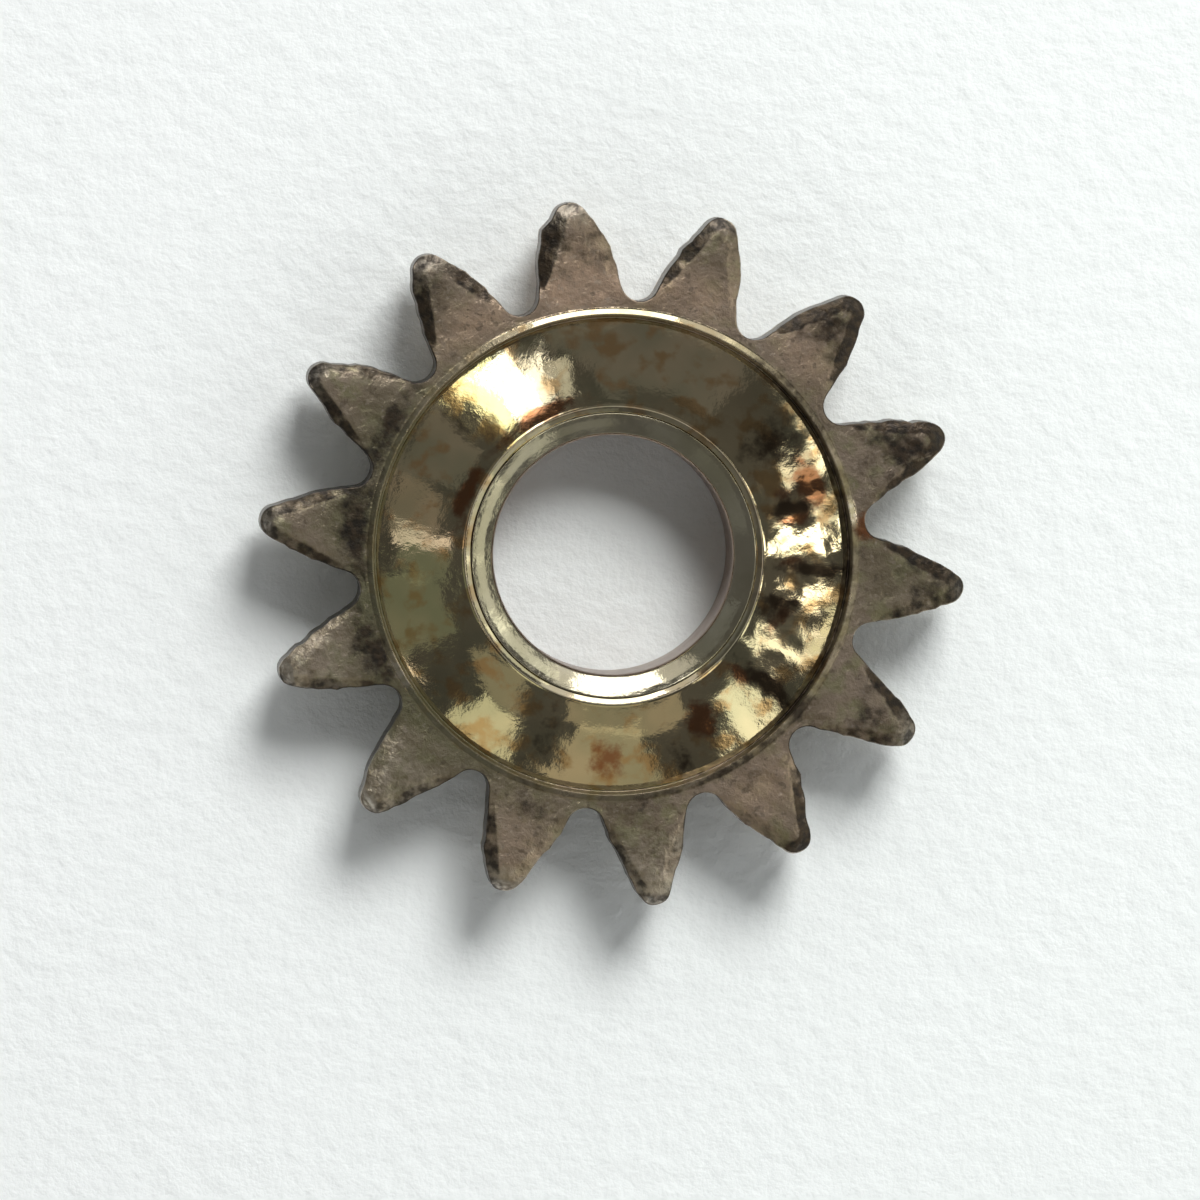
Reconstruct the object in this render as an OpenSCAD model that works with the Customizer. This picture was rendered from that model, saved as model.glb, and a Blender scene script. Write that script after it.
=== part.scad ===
// Small intermediate wheel for a watch movement.
// A steel idler wheel with long pointed teeth and a polished hollow turns
// freely on a polished core, which is held on its post through a plain bore.
// Lengths are in millimetres. The origin lies on the wheel's axis, at the
// seat under the core's foot. +Z points up, to the polished side, and the
// middle of one tooth lies on +X.

/* [Teeth] */
// Number of teeth
tooth_count = 14; // [10:1:20]
// Diameter over the tooth tips
tip_d = 3.2; // [3:0.05:3.8]
// Diameter at the bottom of the tooth gaps
root_d = 2.3; // [2.26:0.01:2.5]
// Radius of the rounded tooth tip, seen from above
tip_r = 0.075; // [0.04:0.005:0.09]
// Radius at the bottom of a tooth gap, seen from above
gap_r = 0.086; // [0.05:0.002:0.1]
// Radius of the gently bulged tooth flank, seen from above
flank_r = 1.8; // [1:0.1:4]
// Thickness of the toothed rim
rim_t = 0.27; // [0.22:0.01:0.4]

/* [Tooth bevels] */
// Diameter at which the bevels along the flanks begin
bevel_d = 2.44; // [2.36:0.02:2.8]
// Width of a tooth's top where the bevels begin
bevel_top_w = 0.29; // [0.26:0.01:0.36]
// Width of a tooth's top where its tip bevel begins
crest_w = 0.02; // [0.01:0.01:0.08]
// Slope of the flank bevels below the level top, in degrees
bevel_slope = 24; // [15:1:60]
// Length of the tip bevel, measured inward from the tip
tip_bevel = 0.07; // [0.03:0.01:0.1]
// Depth of the tip bevel at the tip
tip_bevel_depth = 0.06; // [0.03:0.01:0.1]

/* [Polished hollow] */
// Diameter of the fine raised edge around the hollow
edge_d = 2.18; // [2.1:0.005:2.2]
// Height of the raised edge above the tooth tops
edge_h = 0.014; // [0.006:0.002:0.03]
// Width of the level top of the raised edge
edge_top_w = 0.01; // [0.006:0.002:0.016]
// Width that the outer slope of the raised edge takes up
edge_slope_w = 0.02; // [0.01:0.002:0.026]
// Depth of the hollow's outer corner below the hub's top
hollow_depth = 0.12; // [0.06:0.01:0.16]
// Width that the hollow's steep outer wall takes up
wall_w = 0.03; // [0.02:0.005:0.06]
// Radius of the hollow's curved floor, in section
floor_r = 2.2; // [1:0.1:4]

/* [Hub of the wheel] */
// Rise of the hub's top above the tooth tops
hub_rise = 0.06; // [0.03:0.005:0.08]
// Width of the level ring on the hub's top
hub_land_w = 0.012; // [0.006:0.002:0.05]
// Width of the bevel around the mouth of the wheel's bore
hub_bevel = 0.028; // [0.01:0.002:0.04]
// Depth of that bevel
hub_bevel_depth = 0.018; // [0.01:0.002:0.04]
// Diameter of the boss under the wheel
boss_d = 1.9; // [1.8:0.02:2.1]
// Height of the boss under the wheel
boss_h = 0.1; // [0.04:0.01:0.2]

/* [Core] */
// Diameter of the through bore that takes the post
bore_d = 1.08; // [0.8:0.01:1.1]
// Wall between the bore and the bearing surface that the wheel turns on
core_wall = 0.091; // [0.07:0.001:0.14]
// Diameter of the core's foot
foot_d = 1.7; // [1.5:0.02:1.8]
// Thickness of the core's foot
foot_t = 0.055; // [0.04:0.005:0.1]
// Height of the core's lip above the wheel's hub
lip_rise = 0.01; // [0.005:0.005:0.05]
// Rounding at the outside of the lip
lip_r = 0.01; // [0.006:0.002:0.024]
// Slope of the lip's top, which falls towards the bore, in degrees
lip_slope = 36; // [10:1:40]
// Bevel around the lower end of the bore
bore_bevel = 0.02; // [0.01:0.005:0.04]

/* [Fits] */
// Radial running clearance between the core and the wheel
run_gap = 0.0135; // [0.01:0.0005:0.02]
// Clearance between the core's foot and the boss of the wheel
end_play = 0.015; // [0.01:0.005:0.03]

/* [Hidden] */
$fn = 96;
// Steps in a curve of an outline or a section
tip_steps = 5;
flank_steps = 5;
gap_steps = 4;
floor_steps = 10;
lip_steps = 6;
// How far a cutting or joining shape reaches past the faces it works on
over = 0.02;

// Levels above the seat
boss_z = foot_t + end_play;
rim_z = boss_z + boss_h;
top_z = rim_z + rim_t;
hub_z = top_z + hub_rise;
lip_z = hub_z + lip_rise;

// Radii
journal_r = bore_d / 2 + core_wall;
wheel_bore_r = journal_r + run_gap;
hub_r = wheel_bore_r + hub_bevel + hub_land_w;
edge_in_r = (edge_d - edge_top_w) / 2;
edge_out_r = (edge_d + edge_top_w) / 2;
corner_r = edge_in_r - wall_w;
corner_z = hub_z - hollow_depth;
tip_bevel_r = tip_d / 2 - tip_bevel;
half_pitch = 180 / tooth_count;

function unit(v) = v / norm(v);
function heading(v) = atan2(v.y, v.x);
function mirrored(p) = [p.x, -p.y];

// Point at distance ra from a and rb from b, to the right of the way from a to b
function meeting(a, ra, b, rb) =
    let (d = norm(b - a), u = unit(b - a), m = (ra * ra - rb * rb + d * d) / (2 * d))
    a + m * u + sqrt(ra * ra - m * m) * [u.y, -u.x];

// Points along an arc from heading h0 to heading h1
function arc(c, r, h0, h1, steps) =
    [for (i = [0:steps]) let (h = h0 + (h1 - h0) * i / steps) c + r * [cos(h), sin(h)]];

// All points of a list but the first
function rest(list) = [for (i = [1:len(list) - 1]) list[i]];

// The tooth's tip, flank and gap are three arcs that run smoothly into each
// other. The flank's centre follows from the other two.
tip_c = [tip_d / 2 - tip_r, 0];
gap_c = (root_d / 2 + gap_r) * [cos(half_pitch), sin(half_pitch)];
flank_c = meeting(gap_c, flank_r + gap_r, tip_c, flank_r - tip_r).y
        < meeting(tip_c, flank_r - tip_r, gap_c, flank_r + gap_r).y
    ? meeting(gap_c, flank_r + gap_r, tip_c, flank_r - tip_r)
    : meeting(tip_c, flank_r - tip_r, gap_c, flank_r + gap_r);
tip_heading = heading(tip_c - flank_c);
gap_heading = heading(gap_c - flank_c);

// One side of a tooth, from the middle of its tip to the middle of the gap
tooth_side = concat(
    arc(tip_c, tip_r, 0, tip_heading, tip_steps),
    rest(arc(flank_c, flank_r, tip_heading, gap_heading, flank_steps)),
    rest(arc(gap_c, gap_r, gap_heading + 180, half_pitch + 180, gap_steps)));

// Whole tooth, from just past one gap's middle to the next gap's middle
tooth = concat(
    [for (i = [len(tooth_side) - 2:-1:1]) mirrored(tooth_side[i])],
    tooth_side);

function turned(p, a) = [p.x * cos(a) - p.y * sin(a), p.x * sin(a) + p.y * cos(a)];

wheel_outline = [for (k = [0:tooth_count - 1]) for (p = tooth) turned(p, 2 * half_pitch * k)];

// The flank bevels meet the level top along a straight line on each side
bevel_from = [bevel_d / 2, bevel_top_w / 2];
bevel_to = [tip_bevel_r, crest_w / 2];
bevel_dir = heading(bevel_to - bevel_from);
bevel_len = tip_d / 2 - bevel_d / 2;
// Sideways reach of a bevel's cut, which stops in the middle of the gap
bevel_reach = bevel_from.x * tan(half_pitch) - bevel_from.y;

module flank_bevel() {
    translate([bevel_from.x, bevel_from.y, top_z])
        rotate([0, 0, bevel_dir])
            rotate([-bevel_slope, 0, 0])
                translate([-over, 0, 0])
                    cube([bevel_len * 2, bevel_reach / cos(bevel_slope), rim_t]);
}

// Cuts at the top of every tooth: one bevel along each flank and one at the tip
module tooth_bevels() {
    for (k = [0:tooth_count - 1])
        rotate([0, 0, 2 * half_pitch * k]) {
            flank_bevel();
            mirror([0, 1, 0]) flank_bevel();
        }
    rotate_extrude()
        polygon([
            [tip_bevel_r, top_z],
            [tip_d / 2 + tip_bevel, top_z - 2 * tip_bevel_depth],
            [tip_d / 2 + tip_bevel, top_z + over],
            [tip_bevel_r, top_z + over]]);
}

// Section of the hollow: the curved floor falls from the hub to a corner, and
// the steep outer wall rises from there to the raised edge
floor_c = meeting([corner_r, corner_z], floor_r, [hub_r, hub_z], floor_r);
floor_from = heading([hub_r, hub_z] - floor_c);
floor_to = heading([corner_r, corner_z] - floor_c);

module hollow() {
    rotate_extrude()
        polygon(concat(
            arc(floor_c, floor_r, floor_from, floor_to, floor_steps),
            [[edge_in_r, top_z + edge_h],
             [edge_in_r, hub_z + over],
             [hub_r, hub_z + over]]));
}

// The raised edge stands on the rim and the hub stands inside it
module raised_edge() {
    rotate_extrude()
        polygon([
            [edge_in_r - wall_w, top_z - edge_h],
            [edge_out_r + edge_slope_w, top_z - edge_h],
            [edge_out_r + edge_slope_w, top_z],
            [edge_out_r, top_z + edge_h],
            [edge_in_r - wall_w, top_z + edge_h]]);
}

// Bore of the wheel, with the bevel around its upper mouth
module wheel_bore() {
    translate([0, 0, boss_z - over]) cylinder(r = wheel_bore_r, h = lip_z);
    translate([0, 0, hub_z - hub_bevel_depth])
        cylinder(r1 = wheel_bore_r, r2 = wheel_bore_r + 2 * hub_bevel, h = 2 * hub_bevel_depth);
}

module toothed_wheel() {
    color([0.47, 0.43, 0.37])
        difference() {
            union() {
                translate([0, 0, rim_z]) linear_extrude(rim_t) polygon(wheel_outline);
                translate([0, 0, boss_z]) cylinder(d = boss_d, h = boss_h + over);
                translate([0, 0, rim_z + over]) cylinder(r = corner_r, h = hub_z - rim_z - over);
                raised_edge();
            }
            hollow();
            wheel_bore();
            tooth_bevels();
        }
}

// The lip's top falls like a cone from its outer rounding to the bore
lip_c = [journal_r - lip_r, lip_z - lip_r];
lip_run = lip_c.x - bore_d / 2;
lip_fall = lip_run * tan(lip_slope);
lip_in = [bore_d / 2, lip_z - lip_fall];

module core_bush() {
    color([0.55, 0.53, 0.45])
        rotate_extrude()
            polygon(concat(
                [[bore_d / 2 + bore_bevel, 0],
                 [foot_d / 2, 0],
                 [foot_d / 2, foot_t],
                 [journal_r, foot_t]],
                arc(lip_c, lip_r, 0, 90, lip_steps),
                [lip_in, [bore_d / 2, bore_bevel]]));
}

toothed_wheel();
core_bush();
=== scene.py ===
import math

import bpy
import numpy as np
from mathutils import Matrix, Vector


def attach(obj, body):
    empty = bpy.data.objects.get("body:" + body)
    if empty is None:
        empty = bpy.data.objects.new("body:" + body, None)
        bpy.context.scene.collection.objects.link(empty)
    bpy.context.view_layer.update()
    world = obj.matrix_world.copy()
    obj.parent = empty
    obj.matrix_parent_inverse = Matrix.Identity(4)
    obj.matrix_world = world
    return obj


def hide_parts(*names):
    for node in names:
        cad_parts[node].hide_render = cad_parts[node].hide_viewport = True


# Looks of the small intermediate wheel: a toothed steel wheel on its core. Sizes are in millimetres
# and become metres when a mesh, the camera or a lamp is made. They follow the sizes of the solids.
# Azimuths are in degrees, anticlockwise from the photograph's right.
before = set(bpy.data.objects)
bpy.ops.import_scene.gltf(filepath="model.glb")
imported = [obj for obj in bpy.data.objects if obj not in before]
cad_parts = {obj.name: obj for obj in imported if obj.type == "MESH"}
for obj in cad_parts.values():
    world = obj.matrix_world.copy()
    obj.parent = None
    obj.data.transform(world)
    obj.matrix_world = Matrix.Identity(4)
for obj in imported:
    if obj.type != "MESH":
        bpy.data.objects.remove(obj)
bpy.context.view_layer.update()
MM = 0.001
PHOTO_TURN = math.radians(5.75)    # from the part's +X anticlockwise to the photograph's right

# Sizes of the wheel
TEETH = 14
HALF_PITCH = math.pi / TEETH
TIP_D, ROOT_D = 3.2, 2.3
TIP_R, GAP_R, FLANK_R = 0.075, 0.086, 1.8
BEVEL_D, BEVEL_TOP_W, CREST_W, BEVEL_SLOPE = 2.44, 0.29, 0.02, 24.0
TIP_BEVEL, TIP_BEVEL_DEPTH = 0.07, 0.06
RIM_Z, TOP_Z, HUB_Z, BOSS_Z = 0.17, 0.44, 0.509, 0.07
TOP_CIRCLE = 1.122                 # radius where the level top of the teeth begins
EDGE_IN_R, EDGE_OUT_R, EDGE_FOOT_R, EDGE_H = 1.083, 1.089, 1.111, 0.014
CORNER_R, CORNER_Z, FLOOR_R = 1.073, 0.38, 2.2
HUB_R, HUB_BEVEL, HUB_BEVEL_DEPTH = 0.6765, 0.026, 0.0145
WHEEL_BORE_R, BOSS_R = 0.6445, 0.95

# Sizes of the core
BORE_R, JOURNAL_R, FOOT_R, FOOT_T = 0.54, 0.631, 0.85, 0.055
LIP_Z, LIP_R, BORE_BEVEL = 0.502, 0.003, 0.02
LIP_SECTION = [(0.616, 27.5), (0.585, 31.5), (0.54, 36.5)]   # inner radius and slope of each stretch
LIP_BULGE = 0.011                  # how far the lip is pressed outward over its bearing surface

# Radii that round the edges and corners of a section
TOOTH_EDGE, HUB_EDGE = 0.007, 0.003
BOSS_CORNERS = [0.008, 0.006]
WALL_CORNERS = [0.006, 0.003, 0.004, 0.003]
FOOT_CORNERS = [0.004, 0.004, 0.006, 0.006, 0.004]
LIP_CORNERS = [0.2, 0.2, 0.04]

# Levels on the upright walls where the lower stretch of a section ends and the upper one begins
SEAM_LOW, SEAM_HIGH = 0.2, 0.3


# Curves and random waves

def unit(v):
    return v / np.linalg.norm(v)


def heading(v):
    return math.atan2(v[1], v[0])


def meeting(a, ra, b, rb):
    """Point at distance ra from a and rb from b, to the right of the way from a to b."""
    d = np.linalg.norm(b - a)
    u = (b - a) / d
    m = (ra * ra - rb * rb + d * d) / (2 * d)
    return a + m * u + math.sqrt(ra * ra - m * m) * np.array([u[1], -u[0]])


def arc(centre, r, h0, h1, steps):
    h = np.linspace(h0, h1, steps + 1)
    return np.stack([centre[0] + r * np.cos(h), centre[1] + r * np.sin(h)], 1)


def rounded(points, radius, steps=4):
    """Polyline with each inner corner rounded. radius is one number, or one for each corner."""
    points = [np.array(p, float) for p in points]
    radii = np.broadcast_to(radius, len(points) - 2)
    straight = 1.55                # half angle, in radians, from which a corner is left as it is
    longest = 0.48                 # share of a side that a rounding may use up
    out = [points[0]]
    for a, p, b, r in zip(points, points[1:], points[2:], radii):
        u, w = unit(a - p), unit(b - p)
        half = math.acos(np.clip(u @ w, -1, 1)) / 2
        if half > straight:
            out.append(p)
            continue
        cut = min(r / math.tan(half), longest * np.linalg.norm(a - p), longest * np.linalg.norm(b - p))
        for t in np.linspace(0, 1, steps + 1):
            out.append((1 - t) ** 2 * (p + cut * u) + 2 * t * (1 - t) * p + t * t * (p + cut * w))
    out.append(points[-1])
    return np.array(out)


def dense(points, step):
    """Polyline with its long stretches cut into steps, so that smooth shading stays near the corners."""
    out = [points[0]]
    for a, b in zip(points, points[1:]):
        n = max(1, math.ceil(np.linalg.norm(b - a) / step))
        out += [a + (b - a) * k / n for k in range(1, n + 1)]
    return np.array(out)


def smoothstep(a, b, x):
    t = np.clip((x - a) / (b - a), 0, 1)
    return t * t * (3 - 2 * t)


def near(points, centre, size):
    """One at the centre, falling to nothing around it."""
    return np.exp(-((points - centre) ** 2).sum(1) / (2 * size ** 2))


def ripple(x, y, length, seed, waves=18):
    """Smooth random field of unit spread, whose waves are about this long."""
    rng = np.random.default_rng(seed)
    total = np.zeros(np.shape(x))
    for _ in range(waves):
        h, phase = rng.uniform(0, 2 * math.pi, 2)
        k = 2 * math.pi / (length * rng.uniform(0.65, 1.5))
        total += np.cos(k * (x * math.cos(h) + y * math.sin(h)) + phase)
    return total / math.sqrt(waves / 2)


def uneven(x, y, sets):
    """Sum of several sets of waves, each with its height, length and seed."""
    return sum(height * ripple(x, y, length, seed) for height, length, seed in sets)


def photo_polar(azimuth, r):
    """Point in the part's frame from its azimuth and its distance from the axis."""
    a = math.radians(azimuth) + PHOTO_TURN
    return np.array([r * math.cos(a), r * math.sin(a)])


def mesh_object(name, rows, attributes):
    """Closed ring of rows, each a closed ring of points, as one smooth watertight mesh."""
    r, n = rows.shape[:2]
    i = np.arange(r)[:, None] * n
    i2 = (np.arange(r)[:, None] + 1) % r * n
    j = np.arange(n)[None, :]
    j2 = (j + 1) % n
    quads = np.stack([i + j, i + j2, i2 + j2, i2 + j], -1).reshape(-1, 4)
    mesh = bpy.data.meshes.new(name)
    mesh.from_pydata((rows.reshape(-1, 3) * MM).tolist(), [], quads.tolist())
    mesh.polygons.foreach_set("use_smooth", np.ones(len(quads), bool))
    for key, value in attributes.items():
        layer = mesh.attributes.new(key, "FLOAT", "POINT")
        layer.data.foreach_set("value", np.ascontiguousarray(value, np.float32).ravel())
    mesh.validate()
    mesh.update()
    obj = bpy.data.objects.new(name, mesh)
    bpy.context.scene.collection.objects.link(obj)
    return obj


# Columns of the wheel, which are the same in all its rows
COLUMNS_GAP, COLUMNS_FLANK, COLUMNS_TIP = 5, 14, 5
SOFT_ENDS = 0.4                    # share of its half width over which a stretch fades, in and out


def tooth_side():
    """One side of a tooth, from the middle of its tip to the middle of the gap, in the tooth's frame."""
    tip_c = np.array([TIP_D / 2 - TIP_R, 0.0])
    gap_c = (ROOT_D / 2 + GAP_R) * np.array([math.cos(HALF_PITCH), math.sin(HALF_PITCH)])
    flank_c = min(
        meeting(gap_c, FLANK_R + GAP_R, tip_c, FLANK_R - TIP_R),
        meeting(tip_c, FLANK_R - TIP_R, gap_c, FLANK_R + GAP_R), key=lambda c: c[1])
    tip_heading, gap_heading = heading(tip_c - flank_c), heading(gap_c - flank_c)
    return np.concatenate([
        arc(tip_c, TIP_R, 0, tip_heading, COLUMNS_TIP),
        arc(flank_c, FLANK_R, tip_heading, gap_heading, COLUMNS_FLANK)[1:],
        arc(gap_c, GAP_R, gap_heading + math.pi, HALF_PITCH + math.pi, COLUMNS_GAP)[1:]])


side = tooth_side()
one_tooth = np.concatenate([side[-2:0:-1] * [1, -1], side])     # from past one gap's middle to the next
TOOTH_COLUMNS = len(one_tooth)
COLUMNS = TOOTH_COLUMNS * TEETH
tooth_angle = np.repeat(np.arange(TEETH) * 2 * HALF_PITCH, TOOTH_COLUMNS)
tooth_cos, tooth_sin = np.cos(tooth_angle), np.sin(tooth_angle)
circle_angle = tooth_angle + np.tile(np.linspace(-HALF_PITCH, HALF_PITCH, TOOTH_COLUMNS + 1)[1:], TEETH)
circle = np.stack([np.cos(circle_angle), np.sin(circle_angle)], 1)


def to_part(p):
    """Points in the frame of their own tooth, turned to the part's frame."""
    x, y = p[..., 0], p[..., 1]
    return np.stack([x * tooth_cos - y * tooth_sin, x * tooth_sin + y * tooth_cos], -1)


def to_tooth(p):
    """Points in the part's frame, turned to the frame of their own tooth."""
    x, y = p[..., 0], p[..., 1]
    return np.stack([x * tooth_cos + y * tooth_sin, -x * tooth_sin + y * tooth_cos], -1)


def by_tooth(values):
    """Value of each column, from a list with one for each tooth."""
    return np.repeat(values, TOOTH_COLUMNS)


def outward_of(loop):
    """Unit vectors that point out of a closed loop, one at each of its points."""
    t = np.roll(loop, -1, 0) - np.roll(loop, 1, 0)
    t /= np.linalg.norm(t, axis=1)[:, None]
    return np.stack([t[:, 1], -t[:, 0]], 1)


def around(stretches):
    """Value of each column, from the azimuth, half width and strength of some soft-ended stretches."""
    total = 0
    for azimuth, width, strength in stretches:
        gap = np.abs((np.degrees(circle_angle - PHOTO_TURN) - azimuth + 180) % 360 - 180)
        total = total + strength * (1 - smoothstep(width * (1 - SOFT_ENDS), width * (1 + SOFT_ENDS), gap))
    return total


# Differences between the teeth, tooth by tooth, anticlockwise from the one on +X
FULLER = [0, 0, 0.004, 0.006, 0.022, 0.014, 0.003, 0, 0, 0, 0.004, 0, 0, 0]     # in mm, to each side
# Painted shade on the bevel of each tooth's anticlockwise and clockwise flank, where the bevel would
# mirror the dim room
SHADE_LEFT = [0.9, 1.0, 0.8, 1.0, 0.9, 1.0, 0.9, 0.6, 0.8, 0.8, 0.2, 0.6, 0.9, 0.7]    # anticlockwise flank
SHADE_RIGHT = [0.2, 0.5, 0.8, 0.1, 0.1, 0.35, 0.6, 0.7, 0.2, 0.1, 0.8, 0.7, 0.2, 0.4]  # clockwise flank
# How much darker the face and the tip of each tooth are made
DARKER_FACE = [0.45, 0.65, 0.55, 0.15, 0.35, 0.35, 0, 0.1, 0, 0, 0, 0, 0.1, 0.45]
DARKER_TIP = [0.9, 1, 1.6, 0.8, 0.4, 0.5, 0.55, 0.5, 0, 0, 0.2, 0.3, 1.3, 0.5]
# Painted highlight: how much paler the outer top of each tooth is made
TOP_HIGHLIGHT = [0, 0, 0, 0, 0, 0, 0, 0, 0.28, 0.42, 0.08, 0.4, 0, 0]

# Distances from the axis over which something sets in along a tooth
BEVEL_ZONE, BEVEL_SHADE_ZONE = (1.15, 1.27), (1.17, 1.3)
UNEVEN_ZONE, FACE_ZONE, HIGHLIGHT_ZONE = (1.16, 1.3), (1.2, 1.35), (1.22, 1.35)
TIP_WEAR_ZONE, TIP_EDGE_ZONE = (1.46, 1.55), (1.48, 1.58)
TIP_LOSS_ZONE, TIP_DARK_ZONE = (1.5, 1.56), (1.5, 1.58)
FULLEST_R, FULLER_SPREAD = 1.4, 0.13

# Unevenness of the teeth: height, length and seed of each set of waves
FLANK_WAVES = [(0.004, 0.34, 3), (0.0022, 0.07, 4)]
TOP_WAVES = [(0.0011, 0.16, 11), (0.0006, 0.06, 12)]
TIP_LOSS, TIP_LOSS_MEAN = 0.0012, 1.2
RIDGE_H, RIDGE_LENGTH = 0.0015, 1.3
RIDGES_ROUND, RIDGES_DOWN = 20, 3  # how closely the ridges of the flanks follow each other
CALM = 0.25                        # share of the way out over which the waves of the tops grow

# Painted shade on the bevels, its patchiness, and wear of the teeth
BEVEL_SHADE_W, CREASE_W = 0.02, 0.012
PATCHES_MEAN, PATCHES_SPREAD = 0.85, 0.2
CREASE_WEAR, TIP_WEAR = 0.3, 0.8
EDGE_WEAR, EDGE_TIP_WEAR = 0.2, 0.4

# Burr on the shoulder of one tooth, and the dirt around it
BURR = photo_polar(100.9, 1.475)
BURR_H, BURR_SIZE = 0.026, 0.03
BURR_DIRT, BURR_DIRT_SIZE = 0.8, 0.035


def real_outline():
    """Outline of the teeth as they are: some are fuller, all are uneven and worn, and one has a burr.
    It comes with the distance from the axis that each of its points had before."""
    line = to_part(np.tile(one_tooth, (TEETH, 1)))
    out = outward_of(line)
    reach = np.linalg.norm(line, axis=1)
    fuller = by_tooth(FULLER) * np.exp(-((reach - FULLEST_R) / FULLER_SPREAD) ** 2)
    line = line + out * fuller[:, None]
    x, y = line[:, 0], line[:, 1]
    at_tip = smoothstep(*TIP_LOSS_ZONE, reach)
    bumpy = uneven(x, y, FLANK_WAVES) * smoothstep(*UNEVEN_ZONE, reach) * (1 - at_tip)
    lost = TIP_LOSS * (TIP_LOSS_MEAN + ripple(x, y, length=0.1, seed=5)).clip(0) * at_tip
    line = line + out * (bumpy - lost)[:, None]
    return line + out * (BURR_H * near(line, BURR, BURR_SIZE))[:, None], reach


outline, reach = real_outline()
outward = outward_of(outline)
inset = outline - outward * TOOTH_EDGE
flank_shade = np.where(to_tooth(outline)[:, 1] > 0, by_tooth(SHADE_LEFT), by_tooth(SHADE_RIGHT))


def top_height(xy):
    """Height of a tooth's top, with its bevels, and how far past its crease each point lies."""
    p = to_tooth(xy)
    a = np.array([BEVEL_D / 2, BEVEL_TOP_W / 2])
    b = np.array([TIP_D / 2 - TIP_BEVEL, CREST_W / 2])
    d = unit(b - a)
    past = (p[..., 0] - a[0]) * -d[1] + (np.abs(p[..., 1]) - a[1]) * d[0]
    soft = 0.008                   # how far the creases are rounded
    flank = soft * np.logaddexp(0, past / soft) * smoothstep(*BEVEL_ZONE, p[..., 0])
    tip = (np.linalg.norm(xy, axis=-1) - (TIP_D / 2 - TIP_BEVEL)) * TIP_BEVEL_DEPTH / TIP_BEVEL
    tip = soft * np.logaddexp(0, tip / soft)
    fall = flank * math.tan(math.radians(BEVEL_SLOPE))
    depth = np.logaddexp(fall / soft, tip / soft) * soft - soft * math.log(2)
    return TOP_Z - np.clip(depth, 0, None), past


# Rows of the wheel, from the tops of the teeth down and around its section, and back over the hollow
TOP_ROWS, TOP_CROWDING = 34, 1.35  # the crowding is towards the edge of the teeth
UPPER_EDGE, LOWER_EDGE = (30, 60, 90), (0, 30, 60, 90)     # degrees round the edge at each row
FLANK_ROWS = (0.12, 0.3, 0.5, 0.7, 0.88)                   # share of the way down at each row
UNDER_ROWS, FLOOR_ROWS = 6, 40
rows = []
looks = {"hollow": [], "dark": [], "wear_and_highlight": []}
edge_z, _ = top_height(inset)


def add(xy, z, polish, dirt_and_shade, wear_and_highlight):
    """One row, with how polished, how dark (dirt and painted shade) and how pale (wear and painted
    highlight) each of its points is.
    """
    rows.append(np.concatenate([xy, np.broadcast_to(z, (COLUMNS,))[:, None]], 1))
    for key, value in (("hollow", polish), ("dark", dirt_and_shade), ("wear_and_highlight", wear_and_highlight)):
        looks[key].append(np.broadcast_to(value, (COLUMNS,)).astype(float))


def revolve(profile, polish, dirt_and_shade, wear_and_highlight):
    """Rows of a section that is turned about the axis."""
    for r, z in profile:
        add(r * circle, z, polish, dirt_and_shade, wear_and_highlight)


def add_tooth_tops():
    """Tops of the teeth, from the circle outside the raised edge to the edges of the teeth."""
    start = TOP_CIRCLE * circle
    for t in 1 - (1 - np.linspace(0, 1, TOP_ROWS)) ** TOP_CROWDING:
        xy = start + (inset - start) * t
        x, y = xy[:, 0], xy[:, 1]
        r = np.linalg.norm(xy, axis=1)
        z, past = top_height(xy)
        z = z + smoothstep(0, CALM, t) * uneven(x, y, TOP_WAVES)
        on_face = smoothstep(*FACE_ZONE, r)
        # The bevels get painted shade, the faces and tips are made darker tooth by tooth, and the burr is
        # dirty
        in_bevel = smoothstep(0, BEVEL_SHADE_W, past) * smoothstep(*BEVEL_SHADE_ZONE, r)
        dirt_and_shade = in_bevel * flank_shade + by_tooth(DARKER_FACE) * on_face
        dirt_and_shade = dirt_and_shade + by_tooth(DARKER_TIP) * smoothstep(*TIP_DARK_ZONE, r)
        dirt_and_shade = dirt_and_shade + BURR_DIRT * near(xy, BURR, BURR_DIRT_SIZE)
        patchy = np.clip(PATCHES_MEAN + PATCHES_SPREAD * ripple(x, y, length=0.12, seed=13), 0, 1)
        crease = np.exp(-(past / CREASE_W) ** 2) * on_face
        # Wear at the crease and the tip, and the painted highlight of some tops
        wear_and_highlight = CREASE_WEAR * crease + TIP_WEAR * smoothstep(*TIP_WEAR_ZONE, r)
        wear_and_highlight = wear_and_highlight * (1 - by_tooth(DARKER_TIP)) + by_tooth(TOP_HIGHLIGHT) * smoothstep(*HIGHLIGHT_ZONE, r)
        add(xy, z, polish=0.0, dirt_and_shade=np.clip(dirt_and_shade * patchy, 0, 1), wear_and_highlight=np.clip(wear_and_highlight, 0, 1))


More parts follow.
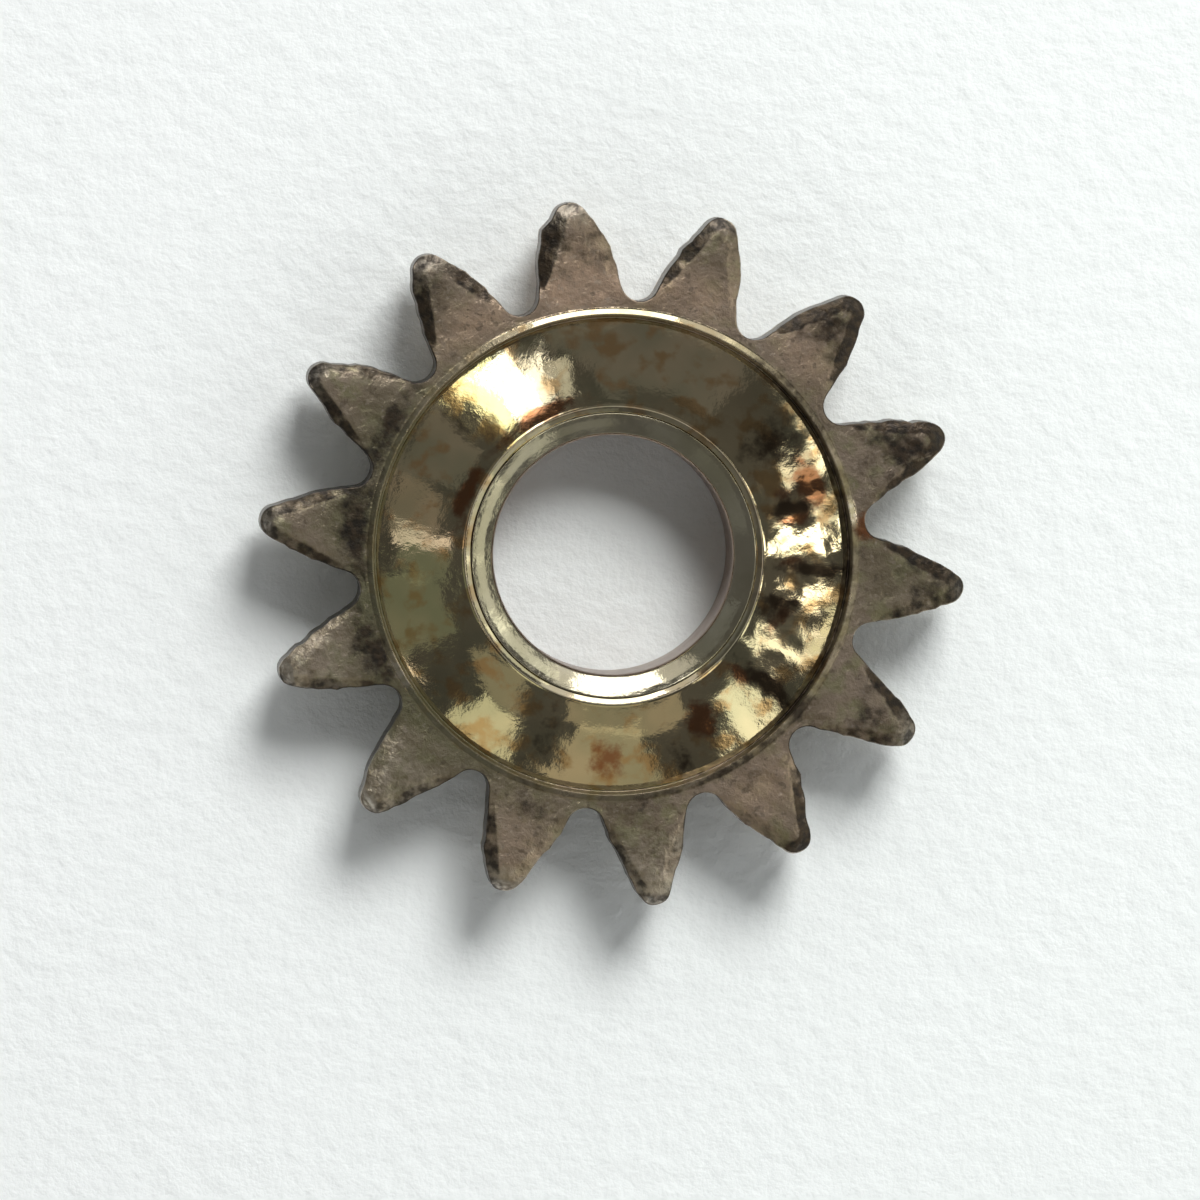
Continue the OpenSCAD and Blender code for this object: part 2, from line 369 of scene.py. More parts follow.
def add_flanks():
    """Upper edges, flanks and lower edges of the teeth."""
    edge_wear = EDGE_WEAR + EDGE_TIP_WEAR * smoothstep(*TIP_EDGE_ZONE, reach)
    edge_wear = np.clip(edge_wear * (1 - flank_shade), 0, 1)
    # Upper edges are darker where the bevels have painted shade; the upright flanks get painted shade
    # where they would mirror the bright paper, and the lower edges are darkened less
    for a in map(math.radians, UPPER_EDGE):
        xy = outline - outward * TOOTH_EDGE * (1 - math.sin(a))
        z = edge_z - TOOTH_EDGE * (1 - math.cos(a))
        add(xy, z, polish=0.0, dirt_and_shade=0.3 + 0.6 * flank_shade, wear_and_highlight=edge_wear)
    for t in FLANK_ROWS:
        z = (edge_z - TOOTH_EDGE) * (1 - t) + (RIM_Z + TOOTH_EDGE) * t
        down = np.full(COLUMNS, t * RIDGES_DOWN)
        ridge = RIDGE_H * ripple(circle_angle * RIDGES_ROUND, down, RIDGE_LENGTH, seed=21)
        add(outline - outward * (RIDGE_H + ridge)[:, None].clip(0), z, polish=0.0, dirt_and_shade=0.75, wear_and_highlight=0.0)
    for a in map(math.radians, LOWER_EDGE):
        xy = outline - outward * TOOTH_EDGE * (1 - math.cos(a))
        add(xy, RIM_Z + TOOTH_EDGE * (1 - math.sin(a)), polish=0.0, dirt_and_shade=0.4, wear_and_highlight=0.0)


def add_underside():
    """Lower face of the rim, and the boss."""
    under = BOSS_R * circle
    for t in np.linspace(0, 1, UNDER_ROWS + 2)[1:-1]:
        add(inset + (under - inset) * t, RIM_Z, polish=0.0, dirt_and_shade=0.15, wear_and_highlight=0.0)
    boss = [(BOSS_R, RIM_Z), (BOSS_R, BOSS_Z), (WHEEL_BORE_R, BOSS_Z), (WHEEL_BORE_R, SEAM_LOW)]
    revolve(rounded(boss, BOSS_CORNERS, 3), polish=0.0, dirt_and_shade=0.2, wear_and_highlight=0.2)


def add_hub():
    """Upper end of the bore, its bevelled mouth and the level ring on the hub."""
    hub = [
        (WHEEL_BORE_R, SEAM_HIGH), (WHEEL_BORE_R, HUB_Z - HUB_BEVEL_DEPTH),
        (WHEEL_BORE_R + HUB_BEVEL, HUB_Z), (HUB_R - HUB_EDGE, HUB_Z)]
    revolve(rounded(hub, HUB_EDGE), polish=1.0, dirt_and_shade=0.0, wear_and_highlight=0.3)


# Hollow, whose floor falls in a shallow bowl from the hub to the corner under the raised edge
floor_corner, floor_hub = np.array([CORNER_R, CORNER_Z]), np.array([HUB_R, HUB_Z])
floor_c = meeting(floor_corner, FLOOR_R, floor_hub, FLOOR_R)
floor = arc(floor_c, FLOOR_R, heading(floor_hub - floor_c), heading(floor_corner - floor_c), FLOOR_ROWS)
floor[0] = rounded([(HUB_R - HUB_EDGE, HUB_Z), floor[0], floor[1]], HUB_EDGE)[2]

# Waves of the hollow's floor: height, how much higher where it is scuffed, length and seed of each set
FLOOR_WAVES = [(0.0003, 0.0002, 0.18, 31), (0.00003, 0.00009, 0.08, 32)]
CALM_IN, CALM_OUT = 0.04, 0.02     # widths along its borders over which the waves set in
EDGE_STEP = 0.008                  # longest step along the section of the wall and the raised edge
SHINY_H = 0.006                    # how far down from its top the raised edge shines
EDGE_POLISH = 0.3                  # where it shines least

# Stretches around the hollow: azimuth, half width and strength of each
SCUFFED = [(5, 40, 1)]
# Painted shade of the wall and of the raised edge, which dims their reflections in stretches
WALL_SHADE = [(-10, 55, 0.6), (43, 14, 0.3)]
EDGE_SHADE = [(-15, 60, 0.3), (43, 14, 0.35), (-85, 40, 0.15)]
EDGE_SHINE = [(86, 30, 1)]
EDGE_GLINTS = [(208.5, 4.5, 0.8), (10, 2.5, 0.9)]


def add_hollow_floor():
    """Floor of the hollow, with faint waves that are higher where it is scuffed."""
    scuffed = around(SCUFFED)
    waves = [(height + more * scuffed, length, seed) for height, more, length, seed in FLOOR_WAVES]
    for r, z in floor[:-1]:
        x, y = (r * circle).T
        inside = smoothstep(HUB_R, HUB_R + CALM_IN, r) * (1 - smoothstep(CORNER_R - CALM_OUT, CORNER_R, r))
        add(r * circle, z + inside * uneven(x, y, waves), polish=1.0, dirt_and_shade=0.0, wear_and_highlight=0.0)


def add_raised_edge():
    """Steep outer wall of the hollow and the raised edge, which shines in places. Both get painted shade
    in stretches, and the edge gets painted highlights at its glints.
    """
    edge_top = TOP_Z + EDGE_H
    corners = [
        floor[-2], (CORNER_R, CORNER_Z), (EDGE_IN_R, edge_top), (EDGE_OUT_R, edge_top),
        (EDGE_FOOT_R, TOP_Z), (TOP_CIRCLE, TOP_Z)]
    line = dense(rounded(corners, WALL_CORNERS)[1:-1], EDGE_STEP)
    on_wall = (line[:, 0] < EDGE_IN_R) & (line[:, 1] < edge_top - SHINY_H)
    # The wall is darkened with painted shade in stretches
    revolve(line[on_wall], polish=0.15, dirt_and_shade=around(WALL_SHADE), wear_and_highlight=0.0)
    # The glints are polished, and painted as highlights in the pale bare colour; where the edge shines it
    # is made a little paler too, a painted highlight, and its painted shade is left off the glints
    glint = around(EDGE_GLINTS)
    shine = EDGE_POLISH + (1 - EDGE_POLISH) * np.clip(around(EDGE_SHINE) + glint, 0, 1)
    dirt_and_shade = around(EDGE_SHADE) * (1 - glint)
    revolve(line[~on_wall], polish=shine, dirt_and_shade=dirt_and_shade, wear_and_highlight=0.1 * shine + 0.8 * glint)


add_tooth_tops()
add_flanks()
add_underside()
add_hub()
add_hollow_floor()
add_raised_edge()
rows = np.array(rows)

# Stains, and dark patches of painted shade: azimuth, radius, half width in degrees, half height and
# strength of each
OLIVE_STAINS = [
    (185, 1.12, 50, 0.17, 1), (190, 1.4, 60, 0.3, 0.15), (-120, 1.15, 25, 0.2, 0.4),
    (-6, 1.4, 9, 0.3, 0.4)]
PINK_STAINS = [
    (97, 1.2, 16, 0.1, 1), (97, 1.35, 9, 0.2, 0.6), (72, 1.22, 10, 0.12, 0.7), (122, 1.22, 10, 0.12, 0.7),
    (46, 1.25, 8, 0.12, 0.7), (-58, 1.25, 12, 0.15, 0.6), (-109, 1.4, 8, 0.2, 0.5)]
# Dark patches: painted shade at the roots of the teeth, and dark bars painted into the hollow's reflection
SHADE_PATCHES = [
    (-4.5, 0.9, 2.2, 0.18, 0.95), (16, 0.78, 3, 0.08, 0.6), (-15, 0.82, 1.6, 0.1, 0.6),
    (-40, 0.92, 3.2, 0.2, 0.9), (14, 0.86, 2, 0.12, 0.7), (-19, 0.76, 5, 0.09, 0.7),
    (-71, 0.98, 3.5, 0.1, 0.5), (139.5, 0.95, 2.5, 0.13, 0.45), (-111, 0.87, 4.0, 0.2, 0.45),
    (170, 1.17, 22, 0.07, 0.55), (205, 1.15, 10, 0.07, 0.5), (148, 1.17, 9, 0.06, 0.5),
    (-83, 1.16, 5, 0.05, 0.4), (20, 1.2, 5, 0.06, 0.35), (-108, 1.2, 5, 0.07, 0.5),
    (174, 1.2, 7, 0.08, 0.35), (200, 1.2, 6, 0.07, 0.4), (-57, 1.2, 5, 0.06, 0.3),
    (36, 0.86, 7, 0.15, 0.7), (188, 1.12, 45, 0.03, 0.1), (-45, 1.12, 30, 0.03, 0.2),
    (-80, 1.13, 28, 0.04, 0.1)]
RUST_STAINS = [
    (116, 0.72, 14, 0.04, 0.9), (-92, 0.92, 6, 0.12, 0.7), (-62, 0.85, 5, 0.1, 1),
    (152, 0.72, 30, 0.05, 0.35), (20, 0.95, 9, 0.07, 1), (6.5, 1.15, 3.5, 0.06, 0.9),
    (-20, 0.8, 8, 0.06, 0.7), (11, 0.83, 2.5, 0.07, 0.8), (-43, 0.78, 3, 0.07, 0.8),
    (158, 0.72, 10, 0.04, 0.6), (-3, 0.8, 3, 0.1, 0.6), (19, 0.8, 4, 0.05, 0.5)]
row_azimuth = np.degrees(np.arctan2(rows[..., 1], rows[..., 0]) - PHOTO_TURN)
row_r = np.hypot(rows[..., 0], rows[..., 1])


def stain_and_shade(stains, start=0):
    """How strongly the patches cover each point of the wheel, added to the start: stains, and painted
    shade where the patches are the dark ones.
    """
    total = start
    for azimuth, r, wide, tall, strength in stains:
        gap = (row_azimuth - azimuth + 180) % 360 - 180
        total = total + strength * np.exp(-(gap / wide) ** 2 - ((row_r - r) / tall) ** 2)
    return np.clip(total, 0, 1)


wheel = mesh_object("toothed_wheel_steel", rows, {
    "hollow": np.array(looks["hollow"]),
    "dark": stain_and_shade(SHADE_PATCHES, np.array(looks["dark"])),
    "wear_and_highlight": np.array(looks["wear_and_highlight"]),
    "olive": stain_and_shade(OLIVE_STAINS),
    "pink": stain_and_shade(PINK_STAINS),
    "rust": stain_and_shade(RUST_STAINS)})
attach(wheel, "wheel")
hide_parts("toothed_wheel")

# Core
CORE_COLUMNS = 512
NECK = 0.02                        # below the lip's outer rounding, where the core begins to bulge
LIP_WAVES = [(0.0006, 0.2, 41)]
LIP_WORN = 0.001                   # how far the top of the lip is worn down
LIP_ZONE = (-0.005, 0.012)         # levels about its inner border over which the lip's polish sets in
first_slope = math.radians(LIP_SECTION[0][1])
lip_c = np.array([JOURNAL_R + LIP_BULGE - LIP_R, LIP_Z - LIP_R])


def lip_line():
    """Corners of the lip's top, from its outer rounding to the bore."""
    line = [lip_c + LIP_R * np.array([-math.sin(first_slope), math.cos(first_slope)])]
    for r, slope in LIP_SECTION:
        fall = (line[-1][0] - r) * math.tan(math.radians(slope))
        line.append(np.array([r, line[-1][1] - fall]))
    return line


def core_profile():
    """Section of the core, from inside the bore around the foot and up to the lip."""
    foot = [
        (BORE_R, SEAM_LOW), (BORE_R, BORE_BEVEL), (BORE_R + BORE_BEVEL, 0), (FOOT_R, 0),
        (FOOT_R, FOOT_T), (JOURNAL_R, FOOT_T), (JOURNAL_R, SEAM_LOW)]
    neck = np.array([[JOURNAL_R, LIP_Z - LIP_R - NECK]])
    rim = arc(lip_c, LIP_R, 0, math.pi / 2 + first_slope, 8)[:-1]
    top = dense(rounded([*lip_line(), (BORE_R, SEAM_HIGH)], LIP_CORNERS, 12), step=0.004)
    return np.concatenate([rounded(foot, FOOT_CORNERS), neck, rim, top])


def core_surface():
    """Rows of the core, and how much each point belongs to the lip's top, which is slightly uneven."""
    profile = core_profile()
    angle = np.arange(CORE_COLUMNS) * 2 * math.pi / CORE_COLUMNS
    r, z = profile[:, 0, None], profile[:, 1, None]
    x, y = r * np.cos(angle), r * np.sin(angle)
    surface = np.stack([x, y, np.broadcast_to(z, x.shape)], -1)
    border = lip_line()[-1][1]
    on_lip = smoothstep(border + LIP_ZONE[0], border + LIP_ZONE[1], surface[..., 2])
    surface[..., 2] += on_lip * (uneven(x, y, LIP_WAVES) - LIP_WORN)
    return surface, on_lip


core_rows, on_lip = core_surface()
core = mesh_object("core_bush_steel", core_rows, {"polish": on_lip})
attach(core, "core")
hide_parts("core_bush")


# Materials

class Nodes:
    """Short way to build a node material."""

    def __init__(self, name):
        self.material = bpy.data.materials.new(name)
        self.material.use_nodes = True
        self.tree = self.material.node_tree
        self.shader = self.tree.nodes["Principled BSDF"]
        self.place = self.new("ShaderNodeTexCoord").outputs["Object"]

    def new(self, kind, **settings):
        node = self.tree.nodes.new(kind)
        for key, value in settings.items():
            setattr(node, key, value)
        return node

    def put(self, socket, value):
        """Link the socket to another one, or set it to a plain value."""
        if isinstance(value, bpy.types.NodeSocket):
            self.tree.links.new(value, socket)
        else:
            socket.default_value = value

    def surface(self, **inputs):
        """Inputs of the shader, named as it names them, with _ for each space."""
        for name, value in inputs.items():
            self.put(self.shader.inputs[name.replace("_", " ")], value)

    def noise(self, length, detail=2.0, rough=0.5, seed=0.0):
        """Noise whose features are about this many millimetres long."""
        move = self.new("ShaderNodeVectorMath", operation="ADD")
        self.put(move.inputs[0], self.place)
        move.inputs[1].default_value = (seed * MM, seed * 0.7 * MM, 0)
        node = self.new("ShaderNodeTexNoise")
        self.put(node.inputs["Vector"], move.outputs[0])
        node.inputs["Scale"].default_value = 1 / (length * MM)
        node.inputs["Detail"].default_value = detail
        node.inputs["Roughness"].default_value = rough
        return node.outputs["Fac"]

    def attribute(self, name):
        return self.new("ShaderNodeAttribute", attribute_name=name).outputs["Fac"]

    def ramp(self, value, low, high, out_low=0.0, out_high=1.0):
        """Value from low to high, smoothly turned into out_low to out_high."""
        node = self.new("ShaderNodeMapRange", interpolation_type="SMOOTHSTEP")
        self.put(node.inputs["Value"], value)
        for key, v in (("From Min", low), ("From Max", high), ("To Min", out_low), ("To Max", out_high)):
            self.put(node.inputs[key], v)
        return node.outputs["Result"]

    def math(self, operation, a, b):
        node = self.new("ShaderNodeMath", operation=operation)
        self.put(node.inputs[0], a)
        self.put(node.inputs[1], b)
        return node.outputs[0]

    def mix(self, factor, a, b):
        """Colour a where the factor is 0, and colour b where it is 1."""
        node = self.new("ShaderNodeMix", data_type="RGBA")
        self.put(node.inputs["Factor"], factor)
        for socket, value in ((node.inputs[6], a), (node.inputs[7], b)):
            self.put(socket, value if isinstance(value, bpy.types.NodeSocket) else (*value, 1.0))
        return node.outputs[2]

    def bump(self, height, distance):
        node = self.new("ShaderNodeBump")
        self.put(node.inputs["Height"], height)
        node.inputs["Distance"].default_value = distance * MM
        return node.outputs["Normal"]


# Colours of the wheel, as linear red, green and blue
TAUPE, BROWN, MOSS = (0.50, 0.42, 0.355), (0.34, 0.285, 0.225), (0.40, 0.38, 0.26)
DEEP_OLIVE, PINK = (0.27, 0.27, 0.18), (0.80, 0.61, 0.49)
PALE_SPECK, DARK_SPECK = (0.66, 0.58, 0.52), (0.16, 0.14, 0.12)
STRAW, OLIVE, AMBER = (0.66, 0.58, 0.40), (0.50, 0.48, 0.33), (0.50, 0.36, 0.19)
RUST, BARE = (0.27, 0.10, 0.04), (0.80, 0.74, 0.66)
# Dark colours of the darkening, which is partly dirt and partly painted shade
SOOT_AND_SHADE, GRIME_AND_SHADE, POLISH_DIRT_AND_SHADE = (0.052, 0.047, 0.046), (0.105, 0.083, 0.065), (0.11, 0.08, 0.055)


def satin_steel(n, broad, middle, fine):
    """Satin steel of the teeth: taupe, with brown, olive and pink clouds and fine specks."""
    olive = n.math("MULTIPLY", n.attribute("olive"), n.ramp(broad, 0.25, 0.6, 0.5, 1.0))
    pink = n.math("MULTIPLY", n.attribute("pink"), n.ramp(middle, 0.3, 0.6, 0.55, 1.0))
    colour = n.mix(n.ramp(broad, 0.4, 0.62), TAUPE, BROWN)
    colour = n.mix(n.ramp(middle, 0.45, 0.68), colour, MOSS)
    colour = n.mix(olive, colour, DEEP_OLIVE)
    colour = n.mix(pink, colour, PINK)
    colour = n.mix(n.ramp(fine, 0.6, 0.75, 0.0, 0.5), colour, PALE_SPECK)
    return n.mix(n.ramp(fine, 0.3, 0.4, 0.45, 0.0), colour, DARK_SPECK)


def polished_steel(n, broad, middle):
    """Polished steel of the hollow: straw and olive, as old oil leaves it."""
    colour = n.mix(n.ramp(broad, 0.35, 0.65), STRAW, OLIVE)
    return n.mix(n.ramp(middle, 0.5, 0.68), colour, AMBER)


def wheel_material():
    """Satin and polished steel with ragged rust over it, ragged darkening that is partly dirt and partly
    painted shade, and bare metal at the worn edges and the painted highlights.
    """
    n = Nodes("wheel_steel_satin_and_polish")
    hollow = n.attribute("hollow")
    broad, middle, fine = n.noise(0.35, 3), n.noise(0.11, 3, seed=5), n.noise(0.035, 2, seed=9)
    ragged = n.ramp(n.noise(0.06, 4, 0.6, seed=7), 0.25, 0.75, -0.22, 0.22)
    dark = n.ramp(n.math("ADD", n.attribute("dark"), ragged), 0.2, 0.75)
    rust = n.ramp(n.math("ADD", n.attribute("rust"), ragged), 0.25, 0.75)
    wear_and_highlight = n.math("MULTIPLY", n.attribute("wear_and_highlight"), n.ramp(fine, 0.35, 0.65, 0.2, 1.0))
    dirt_and_shade = n.mix(hollow, n.mix(n.ramp(fine, 0.35, 0.65), SOOT_AND_SHADE, GRIME_AND_SHADE), POLISH_DIRT_AND_SHADE)
    colour = n.mix(hollow, satin_steel(n, broad, middle, fine), polished_steel(n, broad, middle))
    colour = n.mix(n.math("MULTIPLY", rust, 0.85), colour, RUST)
    colour = n.mix(n.math("MULTIPLY", dark, 0.95), colour, dirt_and_shade)
    # Pale bare metal where it is worn, and where a highlight is painted
    colour = n.mix(wear_and_highlight, colour, BARE)
    rough = n.math("ADD", n.ramp(hollow, 0.0, 1.0, 0.34, 0.06), n.ramp(middle, 0.3, 0.7, -0.01, 0.04))
    grain = n.math("MULTIPLY", n.noise(0.03, 3, 0.6, seed=3), n.ramp(hollow, 0.0, 1.0, 1.0, 0.06))
    n.surface(Base_Color=colour, Metallic=1.0, Roughness=rough, Normal=n.bump(grain, 0.006))
    return n.material


def core_material():
    """Polished steel of the lip, which is duller and browner in the bore and on the foot."""
    n = Nodes("core_steel_polish")
    polish = n.attribute("polish")
    broad, fine = n.noise(0.3, 3, seed=2), n.noise(0.04, 2, seed=7)
    colour = n.mix(n.ramp(broad, 0.35, 0.65), (0.70, 0.67, 0.55), (0.58, 0.55, 0.42))
    colour = n.mix(n.ramp(fine, 0.6, 0.8, 0.0, 0.3), colour, (0.8, 0.74, 0.64))
    colour = n.mix(polish, (0.36, 0.27, 0.22), colour)
    rough = n.math("ADD", n.ramp(polish, 0.0, 1.0, 0.32, 0.12), n.ramp(fine, 0.3, 0.7, -0.02, 0.05))
    normal = n.bump(n.noise(0.04, 3, 0.6, seed=1), 0.0012)
    n.surface(Base_Color=colour, Metallic=1.0, Roughness=rough, Normal=normal)
    return n.material


def paper_material():
    """White paper, slightly mottled and fibrous, with a little painted light that makes it whiter towards
    +X.
    """
    n = Nodes("pale_paper")
    across = n.new("ShaderNodeSeparateXYZ")
    n.put(across.inputs[0], n.place)
    colour = n.mix(n.noise(0.5, 4, 0.6), (0.885, 0.905, 0.90), (0.91, 0.92, 0.92))
    # Painted light: the paper is made whiter towards +X
    colour = n.mix(n.ramp(across.outputs["X"], -3 * MM, 3 * MM), colour, (0.915, 0.94, 0.93))
    normal = n.bump(n.noise(0.12, 4, 0.62, seed=4), 0.015)
    n.surface(Base_Color=colour, Roughness=0.9, Specular_IOR_Level=0.1, Normal=normal)
    return n.material


wheel.data.materials.append(wheel_material())
core.data.materials.append(core_material())

# Floor
PAPER_HALF = 150.0                 # half the side of the square sheet
paper_mesh = bpy.data.meshes.new("paper")
half = PAPER_HALF * MM
corners = [(-half, -half, 0), (half, -half, 0), (half, half, 0), (-half, half, 0)]
paper_mesh.from_pydata(corners, [], [(0, 1, 2, 3)])
paper = bpy.data.objects.new("paper", paper_mesh)
bpy.context.scene.collection.objects.link(paper)
paper.data.materials.append(paper_material())

# Camera
FRAME_PIXELS = 1200
PIXEL = 0.00451                    # millimetres to a pixel of the frame, at the tooth tops
DISTANCE, SENSOR = 60.0, 36.0
TILT, TILT_TOWARDS = 4.5, 145.0    # angle from the vertical, and the azimuth it is towards
CENTRE_RIGHT, CENTRE_UP = -13.0, -45.0     # from the wheel's axis to the image's centre, in pixels
CLIP_START, CLIP_END = 0.001, 10.0         # in metres


def photo_direction(azimuth, polar):
    """Unit vector from its azimuth and its angle from +Z, both in degrees."""
    a, p = math.radians(azimuth) + PHOTO_TURN, math.radians(polar)
    return Vector((math.cos(a) * math.sin(p), math.sin(a) * math.sin(p), math.cos(p)))


to_camera = photo_direction(TILT_TOWARDS, TILT)


def add_camera():
    """Camera that looks down on the wheel as the photograph does."""
    photo_up = Vector((-math.sin(PHOTO_TURN), math.cos(PHOTO_TURN), 0))
    right = photo_up.cross(to_camera).normalized()
    up = to_camera.cross(right).normalized()
    centre = Vector((0, 0, TOP_Z)) + right * CENTRE_RIGHT * PIXEL + up * CENTRE_UP * PIXEL
    data = bpy.data.cameras.new("camera")
    data.sensor_width = SENSOR
    data.sensor_fit = "HORIZONTAL"
    data.lens = SENSOR * DISTANCE / (FRAME_PIXELS * PIXEL)
    data.clip_start, data.clip_end = CLIP_START, CLIP_END
    camera = bpy.data.objects.new("camera", data)
    bpy.context.scene.collection.objects.link(camera)
    basis = Matrix((right, up, to_camera)).transposed().to_4x4()
    camera.matrix_world = Matrix.Translation((centre + to_camera * DISTANCE) * MM) @ basis
    bpy.context.scene.camera = camera


add_camera()

# Light
LAMP_AT = 80.0                     # distance of the lamps from the wheel


def lamp(name, direction, width, height, radiance, colour, mirrored):
    """Soft rectangular lamp that faces the wheel. Width and height are angles in degrees.
    A mirrored one shows in the steel, and any other lights the paper."""
    data = bpy.data.lights.new(name, "AREA")
    data.shape = "RECTANGLE"
    data.size = 2 * LAMP_AT * math.tan(math.radians(width) / 2) * MM
    data.size_y = 2 * LAMP_AT * math.tan(math.radians(height) / 2) * MM
    data.energy = radiance * math.pi * data.size * data.size_y
    data.color = colour
    obj = bpy.data.objects.new(name, data)
    bpy.context.scene.collection.objects.link(obj)
    z = direction.normalized()
    x = Vector((0, 0, 1)).cross(z).normalized()
    basis = Matrix((x, z.cross(x), z)).transposed().to_4x4()
    obj.matrix_world = Matrix.Translation(z * LAMP_AT * MM) @ basis
    obj.visible_camera = False
    obj.visible_glossy = mirrored
    obj.visible_diffuse = not mirrored


def shown(azimuth, r):
    """Direction that the camera sees mirrored in this place of the hollow's floor."""
    z = floor_c[1] - math.sqrt(FLOOR_R ** 2 - (r - floor_c[0]) ** 2)
    slope = unit(floor_c - np.array([r, z]))
    a = math.radians(azimuth) + PHOTO_TURN
    normal = Vector((slope[0] * math.cos(a), slope[0] * math.sin(a), slope[1]))
    return (2 * normal.dot(to_camera) * normal - to_camera).normalized()


def card(name, azimuth_from, azimuth_to, r_from, r_to, radiance, colour):
    """Lamp that shows in the hollow between two azimuths and two radii."""
    azimuth, r = (azimuth_from + azimuth_to) / 2, (r_from + r_to) / 2
    width = math.degrees(shown(azimuth_from, r).angle(shown(azimuth_to, r)))
    height = math.degrees(shown(azimuth, r_from).angle(shown(azimuth, r_to)))
    lamp(name, shown(azimuth, r), width, height, radiance, colour, mirrored=True)


# Cards: name, azimuths and radii between which each shows, radiance and colour
WARM, CREAM, WHITE, GREENISH = (1, 0.86, 0.6), (1, 0.94, 0.78), (1, 0.98, 0.95), (0.85, 0.9, 0.6)
CARDS = [
    ("window_yellow", 124, 133, 0.735, 1.03, 3.0, (1, 0.95, 0.62)),
    ("window_white", 117, 124, 0.72, 0.99, 6.0, WHITE),
    ("window_white_in", 110, 117, 0.73, 0.92, 2.2, WHITE),
    ("window_grey", 103, 108, 0.72, 0.90, 0.7, (1, 0.95, 0.85)),
    ("gleam_upper_right", 37, 44, 1.01, 1.07, 0.7, CREAM),
    ("gleam_right_1", 22, 28, 0.80, 1.07, 1.5, CREAM),
    ("gleam_right_1_out", 20, 32, 0.98, 1.07, 1.3, CREAM),
    ("gleam_right_2", 2, 8, 0.71, 0.97, 5.0, CREAM),
    ("gleam_right_2_out", 8, 15, 0.94, 1.07, 1.3, CREAM),
    ("gleam_right_2_edge", 8, 12, 1.035, 1.072, 1.6, CREAM),
    ("gleam_right_3", -12.5, -9, 0.81, 0.99, 3.6, CREAM),
    ("gleam_right_3_out", -13, -8, 1.02, 1.07, 1.3, CREAM),
    ("gleam_right_4", -22, -17, 0.95, 1.07, 1.2, (1, 0.95, 0.7)),
    ("gleam_right_5", -32, -27, 0.70, 0.94, 2.0, CREAM),
    ("gleam_right_5_out", -28, -23, 0.90, 1.05, 1.6, CREAM),
    ("patch_lower_right", -56, -45, 0.78, 1.07, 1.55, (1, 0.95, 0.76)),
    ("patch_lower", -105, -78.5, 0.76, 1.07, 0.41, WARM),
    ("patch_lower_in", -108, -64, 0.68, 0.80, 0.28, WARM),
    ("patch_lower_left", -134, -119, 0.84, 1.07, 0.85, (1, 0.93, 0.66)),
    ("patch_lower_left_in", -145, -122, 0.68, 0.82, 0.3, WARM),
    ("sheen_upper", 54, 100, 0.74, 1.05, 0.085, (1, 0.9, 0.85)),
    ("sheen_upper_out", 62, 112, 1.01, 1.07, 0.1, (1, 0.9, 0.8)),
    ("sheen_upper_left", 139, 158, 0.74, 1.03, 0.1, (1, 0.9, 0.8)),
    ("sheen_left_low", -175, -153, 0.75, 1.05, 0.16, GREENISH),
    ("gleam_lower_left", -155, -147, 1.04, 1.072, 1.6, (1, 0.85, 0.7)),
    ("line_left", 173.5, 176.5, 0.72, 0.97, 1.0, (1, 0.85, 0.75)),
    ("sheen_left", 160, 173, 0.77, 1.0, 0.17, (1, 0.82, 0.66)),
    ("sheen_left_2", 177, 187, 0.72, 0.93, 0.16, GREENISH)]

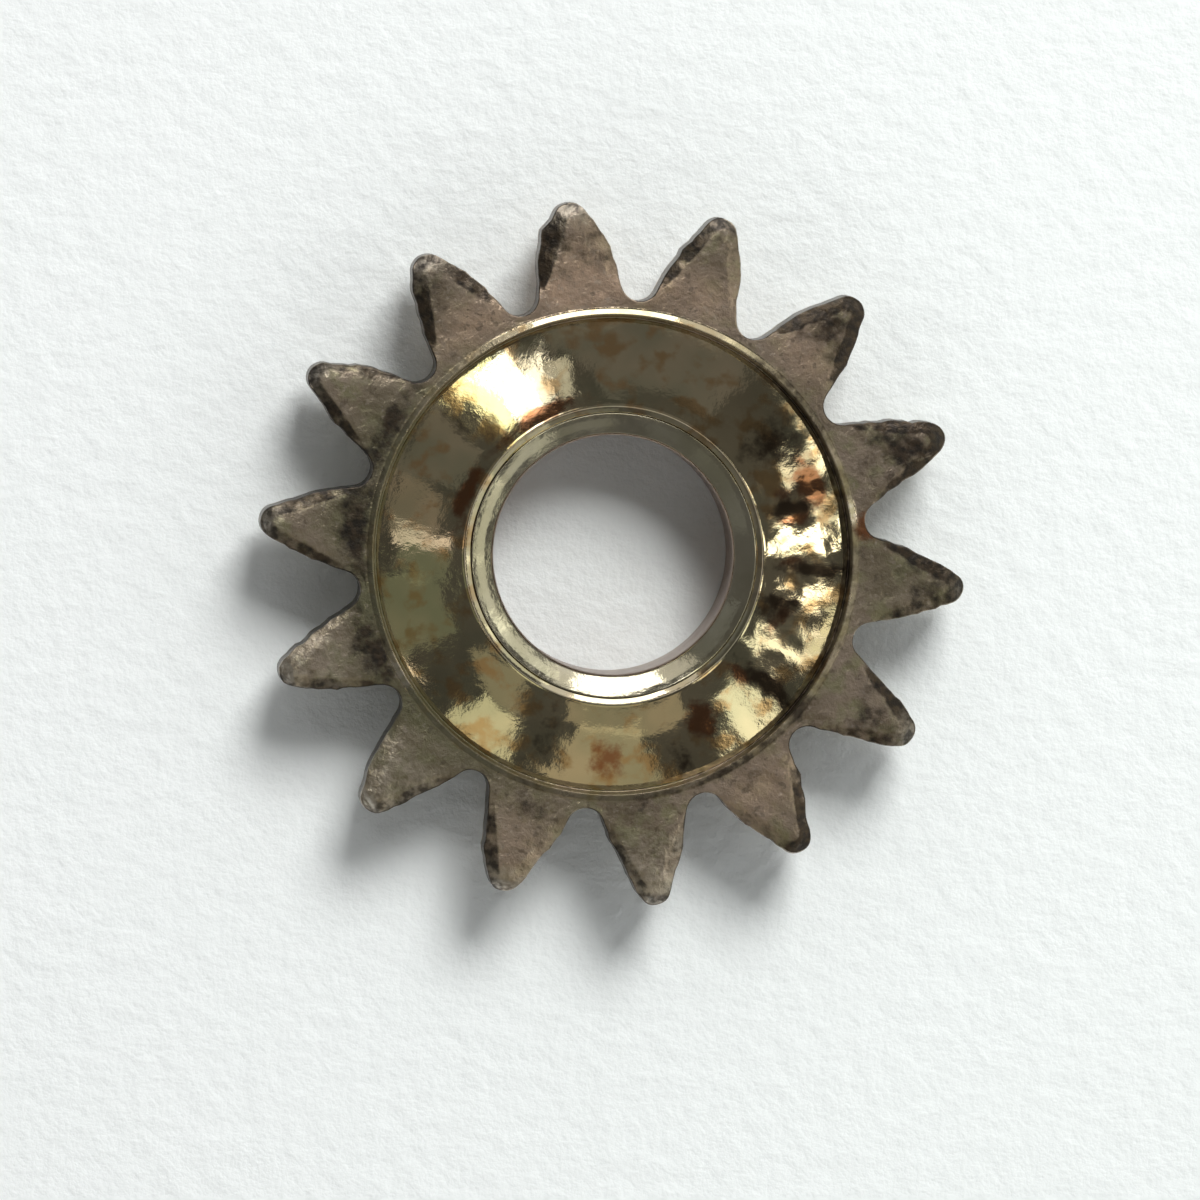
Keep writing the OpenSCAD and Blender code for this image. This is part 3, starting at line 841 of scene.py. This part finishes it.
# Lamps: name, azimuth, angle from +Z, width, height, radiance and colour
PAPER_LAMPS = [
    ("key", 67, 44.5, 24, 24, 15.7, (0.985, 1, 0.985)),
    *[(f"around_{azimuth}", azimuth, 62, 70, 30, radiance, (0.94, 0.98, 1))
      for azimuth, radiance in ((0, 1.05), (90, 1.05), (180, 0.15), (270, 1.15))],
    ("fill", 60, 8, 80, 80, 0.08, (0.92, 0.98, 1))]
STEEL_LAMPS = [
    *[(f"glint_{azimuth}", azimuth, 64, width, 26, radiance, (1, 0.95, 0.86))
      for azimuth, width, radiance in ((64, 16, 0.7), (88, 32, 3.2), (113, 18, 0.6))],
    *[(f"low_right_{azimuth}", azimuth, 66, width, 16, radiance, (1, 0.98, 0.8))
      for azimuth, width, radiance in (
          (-72, 26, 0.1), (-46, 26, 0.4), (-17, 30, 0.62), (14, 30, 0.62), (41, 30, 0.68))],
    ("low_left_2", 214, 64, 36, 20, 0.045, (0.95, 1, 0.85)),
    ("low_left_3", 245, 64, 26, 20, 0.03, (0.95, 1, 0.85)),
    ("low_left", 142, 64, 30, 20, 0.07, (0.95, 1, 0.95)),
    ("overhead", 90, 5, 22, 22, 0.42, (1, 0.95, 0.9))]

for row in CARDS:
    card(*row)
for table, mirrored in ((PAPER_LAMPS, False), (STEEL_LAMPS, True)):
    for name, azimuth, polar, width, height, radiance, colour in table:
        lamp(name, photo_direction(azimuth, polar), width, height, radiance, colour, mirrored)

# Room: sine of the height over the horizon, and how bright the room is there
ROOM = [(0.0, 0.7), (0.08, 0.28), (0.2, 0.1), (0.5, 0.1), (0.66, 0.1), (0.8, 0.08), (0.95, 0.065)]
ROOM_TINT = (1, 0.95, 0.86)
BACKGROUND = (0.86, 0.88, 0.89, 1)


def add_room():
    """Dim room that shows in the steel. The camera sees a pale background in its place."""
    world = bpy.data.worlds.new("room")
    bpy.context.scene.world = world
    world.use_nodes = True
    nodes, link = world.node_tree.nodes, world.node_tree.links.new
    nodes.clear()

    def node(kind):
        return nodes.new("ShaderNode" + kind)

    place, split, levels = node("TexCoord"), node("SeparateXYZ"), node("ValToRGB")
    room, pale, mix = node("Background"), node("Background"), node("MixShader")
    path, output = node("LightPath"), node("OutputWorld")
    stops = levels.color_ramp.elements
    while len(stops) < len(ROOM):
        stops.new(1.0)
    for stop, (height, level) in zip(stops, ROOM):
        stop.position = height
        stop.color = (*(level * tint for tint in ROOM_TINT), 1)
    pale.inputs["Color"].default_value = BACKGROUND
    link(place.outputs["Generated"], split.inputs[0])
    link(split.outputs["Z"], levels.inputs[0])
    link(levels.outputs["Color"], room.inputs["Color"])
    link(path.outputs["Is Camera Ray"], mix.inputs[0])
    link(room.outputs[0], mix.inputs[1])
    link(pale.outputs[0], mix.inputs[2])
    link(mix.outputs[0], output.inputs["Surface"])


add_room()
bpy.context.scene.view_settings.view_transform = "Standard"
